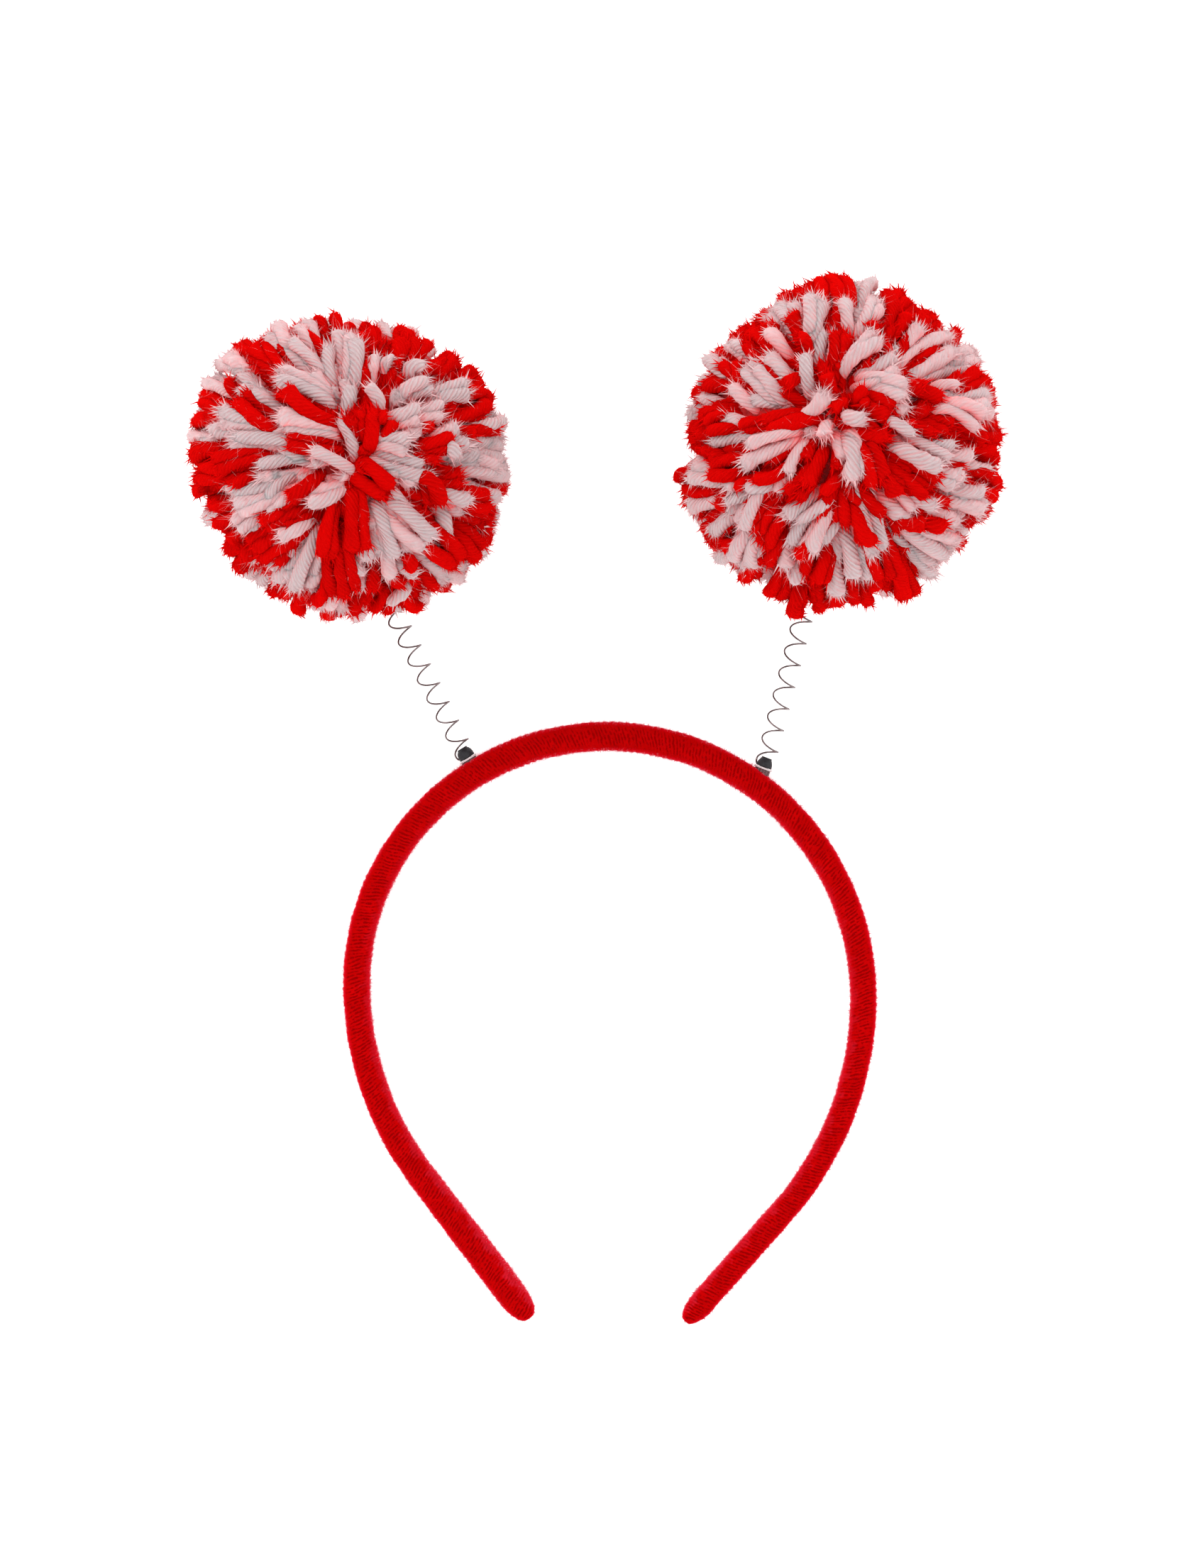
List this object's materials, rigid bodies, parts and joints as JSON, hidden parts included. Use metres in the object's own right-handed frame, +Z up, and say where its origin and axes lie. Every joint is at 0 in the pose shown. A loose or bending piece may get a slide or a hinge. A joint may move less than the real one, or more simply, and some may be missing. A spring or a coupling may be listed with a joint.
{
  "type": "head bopper",
  "caption": "Velvet-covered headband lying flat, with big red and white yarn pompoms on wire springs plugged into its crown.",
  "frame": {"origin": "on the surface it lies on, below the middle of its bounding box", "axes": "+Z up out of the surface, +Y from the headband's tips towards its crown and the pompoms, +X to the right with the crown away from you"},
  "size_m": [0.1954, 0.2532, 0.0794],
  "materials": {
    "velvet": "short-pile velvet tube, bright red, finely ribbed across",
    "plastic": "satin black, moulded",
    "clear_plastic": "clear, tinted pink by what is round it",
    "wire": "bright drawn spring wire",
    "yarn": "brushed plied acrylic yarn, red and white"
  },
  "bodies": {
    "root": {"headband": "velvet", "left_seat": "clear_plastic", "left_cap": "plastic", "left_spring": "wire", "left_pompom": "yarn", "right_seat": "clear_plastic", "right_cap": "plastic", "right_spring": "wire", "right_pompom": "yarn"}
  },
  "joints": []
}
